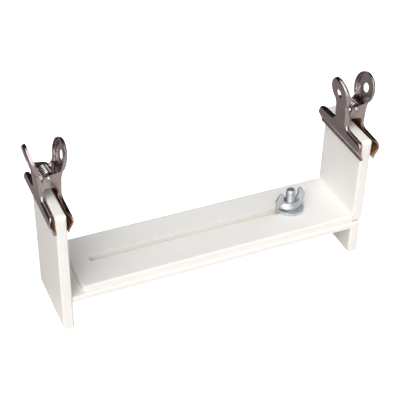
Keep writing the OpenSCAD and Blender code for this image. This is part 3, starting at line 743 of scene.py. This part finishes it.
def thread_tree():
    sizes = {"Diameter": "Float", "Pitch": "Float", "Depth": "Float", "Length": "Float", "Foot": "Vector",
             "Finish": "Material"}
    tree, given = new_tree("rolled_thread", sizes, "Bolt")
    radius = add(tree, MATH, {0: given["Diameter"], 1: 0.5}, operation="MULTIPLY")
    turns = add(tree, MATH, {0: given["Length"], 1: given["Pitch"]}, operation="DIVIDE")
    steps = add(tree, MATH, {0: turns, 1: STEPS_PER_PITCH}, operation="MULTIPLY")
    tube = add(tree, "GeometryNodeMeshCylinder", {"Vertices": TUBE_SIDES, "Side Segments": steps,
                                                  "Fill Segments": 1, "Radius": radius,
                                                  "Depth": given["Length"]}, fill_type="NGON")
    # The tooth's place is the height in turns of thread, less the angle round the bolt in turns
    parts = add(tree, "ShaderNodeSeparateXYZ", {0: add(tree, "GeometryNodeInputPosition")}).outputs
    angle = add(tree, MATH, {0: parts["Y"], 1: parts["X"]}, operation="ARCTAN2")
    share_round = add(tree, MATH, {0: angle, 1: 2 * math.pi}, operation="DIVIDE")
    climbed = add(tree, MATH, {0: parts["Z"], 1: given["Pitch"]}, operation="DIVIDE")
    phase = add(tree, MATH, {0: climbed, 1: share_round}, operation="SUBTRACT")
    swing = add(tree, MATH, {0: phase, 1: 0.5}, operation="PINGPONG")
    tooth = add(tree, MATH, {0: swing, 1: 2.0}, operation="MULTIPLY")
    # The crest and the root are flat: the tooth's sloping wave is cut off at both ends
    shaped = add(tree, REMAP, {"Value": tooth, "From Min": CREST, "From Max": ROOT})
    sunk = add(tree, MATH, {0: shaped, 1: given["Depth"]}, operation="MULTIPLY")
    # The last stretch under the end tapers inwards, as a rolled bolt's point does
    half_length = add(tree, MATH, {0: given["Length"], 1: 0.5}, operation="MULTIPLY")
    rise = add(tree, MATH, {0: parts["Z"], 1: half_length}, operation="ADD")
    left_over = add(tree, MATH, {0: given["Length"], 1: rise}, operation="SUBTRACT")
    point = add(tree, REMAP, {"Value": left_over, "From Min": 0.0, "From Max": POINT_LENGTH,
                              "To Min": POINT_DEPTH, "To Max": 0.0})
    deepest = add(tree, MATH, {0: sunk, 1: point}, operation="MAXIMUM")
    kept = add(tree, MATH, {0: radius, 1: deepest}, operation="SUBTRACT")
    share = add(tree, MATH, {0: kept, 1: radius}, operation="DIVIDE")
    x = add(tree, MATH, {0: parts["X"], 1: share}, operation="MULTIPLY")
    y = add(tree, MATH, {0: parts["Y"], 1: share}, operation="MULTIPLY")
    spot = add(tree, "ShaderNodeCombineXYZ", {0: x, 1: y, 2: rise})
    moved = add(tree, "ShaderNodeVectorMath", {0: spot, 1: given["Foot"]}, operation="ADD")
    cut = add(tree, "GeometryNodeSetPosition", {"Geometry": tube, "Position": moved})
    end_tree(tree, cut, given["Finish"], "Bolt")
    return tree


THREAD = thread_tree()

# %% Carriage bolt
bolt_low, bolt_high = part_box("clamp_bolt")
BOLT_X = (bolt_low.x + bolt_high.x) / 2
BOLT_D, THREAD_PITCH, THREAD_DEPTH = 6 * MM, 1 * MM, 0.5 * MM
HEAD_D, HEAD_H, NECK_H, DOME_STEPS = 16 * MM, 3.3 * MM, 3.2 * MM, 12
BASE_Z = bolt_low.z + HEAD_H


def turned(name, profile, middle, steps=96):
    """A closed shape turned about a vertical axis from a profile of (radius, height) points, both in mm."""
    shape = bmesh.new()
    angles = [2 * math.pi * i / steps for i in range(steps)]
    rings = []
    for radius, height in profile:
        if radius == 0:
            rings.append([shape.verts.new(middle + Vector((0, 0, height * MM)))] * steps)
            continue
        ring = [Vector((radius * math.cos(a), radius * math.sin(a), height)) * MM for a in angles]
        rings.append([shape.verts.new(middle + spot) for spot in ring])
    closed = profile[0][0] != 0
    for one, two in zip(rings, rings[1:] + rings[:1] if closed else rings[1:]):
        for i in range(steps):
            j = (i + 1) % steps
            corners = list(dict.fromkeys([one[i], one[j], two[j], two[i]]))
            if len(corners) > 2:
                shape.faces.new(corners)
    return as_mesh(shape, name)


def take_in(shape, mesh):
    """Adds a plain mesh to an edited shape, and removes the mesh."""
    shape.from_mesh(mesh)
    bpy.data.meshes.remove(mesh)


def carriage_bolt():
    """The threaded shank, its domed head and its square neck, from the head's underside up."""
    foot = Vector((BOLT_X, 0, BASE_Z))
    shape = bmesh.new()
    holder = bpy.data.objects.new("thread", bpy.data.meshes.new("thread"))
    take_in(shape, grown(holder, THREAD, diameter=BOLT_D, pitch=THREAD_PITCH, depth=THREAD_DEPTH,
                         length=bolt_high.z - BASE_Z, foot=foot, finish=bright_zinc))
    sphere_r = (HEAD_D ** 2 / 4 + HEAD_H ** 2) / (2 * HEAD_H)
    edge = math.asin(HEAD_D / 2 / sphere_r)
    angles = [edge * i / DOME_STEPS for i in range(DOME_STEPS + 1)]
    dome = [(sphere_r * math.sin(a) / MM, (sphere_r * (1 - math.cos(a)) - HEAD_H) / MM) for a in angles]
    take_in(shape, turned("head", dome + [(0, 0)], foot))
    neck = bmesh.ops.create_cube(shape, size=1.0)["verts"]
    bmesh.ops.scale(shape, vec=(BOLT_D, BOLT_D, NECK_H), verts=neck)
    bmesh.ops.translate(shape, vec=foot + Vector((0, 0, NECK_H / 2)), verts=neck)
    return as_mesh(shape, "clamp_bolt_threaded")


place_piece("clamp_bolt_threaded", carriage_bolt(), bright_zinc, "root", ["clamp_bolt"])

# %% Washer with die-rounded edges
washer_low, washer_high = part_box("washer")
WASHER_R_MM = (washer_high.x - washer_low.x) / 2 / MM
WASHER_T_MM = (washer_high.z - washer_low.z) / MM
WASHER_HOLE_R_MM, WASHER_EDGE_MM, EDGE_STEPS = 3.2, 0.25, 4


def ring_profile(inner, outer, height, soft):
    """A ring's cross-section with its four corners rounded to radius soft, in mm."""
    corners = [((outer - soft, soft), -90), ((outer - soft, height - soft), 0),
               ((inner + soft, height - soft), 90), ((inner + soft, soft), 180)]
    profile = []
    for (x, z), start in corners:
        for a in (math.radians(start + 90 * i / EDGE_STEPS) for i in range(EDGE_STEPS + 1)):
            profile.append((x + soft * math.cos(a), z + soft * math.sin(a)))
    return profile


washer = turned("washer_stamped", ring_profile(WASHER_HOLE_R_MM, WASHER_R_MM, WASHER_T_MM, WASHER_EDGE_MM),
                Vector(((washer_low.x + washer_high.x) / 2, 0, washer_low.z)))
place_piece("washer_stamped", washer, bright_zinc, "swivel", ["washer"])

# %% Cast wing nut
NUT_BODY_MM = [(3.1, 0.9), (5.0, 0.9), (6.1, 1.3), (6.2, 2.0), (5.4, 3.6), (4.4, 4.7), (3.1, 4.8)]
NUT_BODY_WIDE, WINGS_TURN, NUT_BORE_R = 1.32, math.radians(9), 3.2 * MM
VOXEL_MM, SMOOTH_FACTOR, SMOOTH_TIMES, NUT_SMOOTH_DEG = 0.22, 0.5, 8, 80


def cast_nut():
    """The CAD solid joined with the oval body that the wings flow out of, smoothed as a casting is."""
    middle = Vector((BOLT_X, 0, 0))
    body = turned("body", NUT_BODY_MM, middle + Vector((0, 0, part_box("wing_nut")[0].z)))
    for point in body.vertices:
        out = point.co - middle
        if out.to_2d().length > NUT_BORE_R:
            wide = Vector((out.x * NUT_BODY_WIDE, out.y, out.z))
            point.co = middle + Matrix.Rotation(WINGS_TURN, 3, "Z") @ wide
    shape = joined_copy("wing_nut")
    take_in(shape, body)
    piece = bpy.data.objects.new("nut", as_mesh(shape, "nut"))
    bpy.context.scene.collection.objects.link(piece)
    remesh = piece.modifiers.new("remesh", "REMESH")
    remesh.mode, remesh.voxel_size = "VOXEL", VOXEL_MM * MM
    smooth = piece.modifiers.new("smooth", "SMOOTH")
    smooth.factor, smooth.iterations = SMOOTH_FACTOR, SMOOTH_TIMES
    return baked(piece)


place_piece("wing_nut_cast", cast_nut(), bright_zinc, "clamp_nut", ["wing_nut"], NUT_SMOOTH_DEG)

# %% [markdown]
# ## The stage
# The photograph shows the loom cut out on pure white with hardly a shadow, yet its metal mirrors a room: a
# warm grey table, white in front as painted light and darker behind as painted shade, a bright wall low in
# front, soft light from above and in front, and a dark gap in it a little right of overhead. So the floor is
# white where it is looked at, and has those painted greys for the light that bounces, and the sky is white
# where it is looked at too. The sky could be an image, but smooth steps over its direction need no file.

# %% Floor
FLOOR_HALF, TABLE_FADE = 3.0, 0.09
# The table's two greys are painted shade behind and painted light in front
TABLE_SHADED_BEHIND, TABLE_LIT_IN_FRONT, WHITE = "#a29a97", "#e0dad6", "#ffffff"
FLOOR_GLOW, FLOOR_ROUGH = 0.75, 0.9


def stage_floor():
    """White to the camera, as the photograph was cut out, and a table's greys to what it lights: painted
    light in front, painted shade behind.
    """
    made, tree, place = new_material("studio_floor")
    seen = add(tree, "ShaderNodeLightPath").outputs["Is Camera Ray"]
    depth = add(tree, "ShaderNodeSeparateXYZ", {0: place}).outputs["Y"]
    # Darker behind and lighter in front along y: painted shade and painted light on the table that the metal
    # mirrors
    nearer = add(tree, REMAP, {"Value": depth, "From Min": TABLE_FADE, "From Max": -TABLE_FADE},
                 interpolation_type="SMOOTHSTEP")
    share = add(tree, REMAP, {"Value": nearer, "From Min": TINT_SPAN[0], "From Max": TINT_SPAN[1]})
    table = add(tree, MIX, {"Factor": share, "A": linear(TABLE_SHADED_BEHIND), "B": linear(TABLE_LIT_IN_FRONT)},
                data_type="RGBA")
    shown = add(tree, MIX, {"Factor": seen, "A": table, "B": linear(WHITE)}, data_type="RGBA")
    glow = add(tree, MATH, {0: seen, 1: FLOOR_GLOW}, operation="MULTIPLY")
    shader = add(tree, "ShaderNodeBsdfPrincipled", {
        "Base Color": shown, "Roughness": FLOOR_ROUGH, "Specular IOR Level": 0.0,
        "Emission Color": linear(WHITE), "Emission Strength": glow})
    add(tree, "ShaderNodeOutputMaterial", {"Surface": shader})
    shape = bmesh.new()
    bmesh.ops.create_grid(shape, x_segments=1, y_segments=1, size=FLOOR_HALF)
    piece = bpy.data.objects.new("floor", as_mesh(shape, "floor"))
    piece.data.materials.append(made)
    bpy.context.scene.collection.objects.link(piece)


stage_floor()
print("floor", 2 * FLOOR_HALF, "m wide")

# %% Sky
# Each span says where a smooth step starts and ends, in the direction's own -1 to 1
LIGHT_FROM, LIGHT_SPAN = (-0.1, -0.48, 0.87), (0.25, 0.8)
DARK_SKY, SOFT_LIGHT, FRONT_WALL = 0.02, 2.12, 0.6
GAP_X, GAP_SPAN = 0.33, (0.17, 0.34)
WALL_TOP_SPAN, WALL_SIDE_SPAN = (0.38, 0.2), (-0.2, -0.5)


def sky():
    """Soft light round one direction with a dark gap in it, a bright wall low in front, a dark room."""
    world = bpy.data.worlds.new("studio")
    world.use_nodes = True
    tree = world.node_tree
    tree.nodes.clear()
    way = add(tree, "ShaderNodeTexCoord").outputs["Generated"]
    parts = add(tree, "ShaderNodeSeparateXYZ", {0: way}).outputs
    facing = add(tree, "ShaderNodeVectorMath", {0: way, 1: Vector(LIGHT_FROM).normalized()},
                 operation="DOT_PRODUCT").outputs["Value"]
    off_gap = add(tree, MATH, {0: parts["X"], 1: GAP_X}, operation="SUBTRACT")
    off_gap = add(tree, MATH, {0: off_gap}, operation="ABSOLUTE")
    steps = []
    for value, (start, stop), (low, high) in ((facing, LIGHT_SPAN, (DARK_SKY, SOFT_LIGHT)),
                                              (off_gap, GAP_SPAN, (DARK_SKY, 1.0)),
                                              (parts["Z"], WALL_TOP_SPAN, (0.0, FRONT_WALL)),
                                              (parts["Y"], WALL_SIDE_SPAN, (0.0, 1.0))):
        steps.append(add(tree, REMAP, {"Value": value, "From Min": start, "From Max": stop, "To Min": low,
                                       "To Max": high}, interpolation_type="SMOOTHSTEP"))
    soft = add(tree, MATH, {0: steps[0], 1: steps[1]}, operation="MULTIPLY")
    wall = add(tree, MATH, {0: steps[2], 1: steps[3]}, operation="MULTIPLY")
    both = add(tree, MATH, {0: soft, 1: wall}, operation="ADD")
    seen = add(tree, "ShaderNodeLightPath").outputs["Is Camera Ray"]
    shown = add(tree, MATH, {0: both, 1: seen}, operation="MAXIMUM")
    light = add(tree, "ShaderNodeBackground", {"Color": linear(WHITE), "Strength": shown})
    add(tree, "ShaderNodeOutputWorld", {"Surface": light})
    bpy.context.scene.world = world


sky()
print("sky of", len(bpy.context.scene.world.node_tree.nodes), "nodes")

# %% One softbox and plain colours
def softbox(name, at, aim, size, power):
    light = bpy.data.lights.new(name, "AREA")
    light.shape, light.size, light.energy = "SQUARE", size, power
    piece = bpy.data.objects.new(name, light)
    piece.location = at
    piece.rotation_euler = (Vector(aim) - Vector(at)).to_track_quat("-Z", "Y").to_euler()
    bpy.context.scene.collection.objects.link(piece)


softbox("key_softbox", at=(-1.2, -1.4, 1.4), aim=(0, 0, 0.05), size=0.7, power=4.5)
# The Standard view keeps a full white white, as in the photograph's cut-out
view = bpy.context.scene.view_settings
view.view_transform, view.look, view.exposure, view.gamma = "Standard", "None", 0.0, 1.0
print("stage ready")
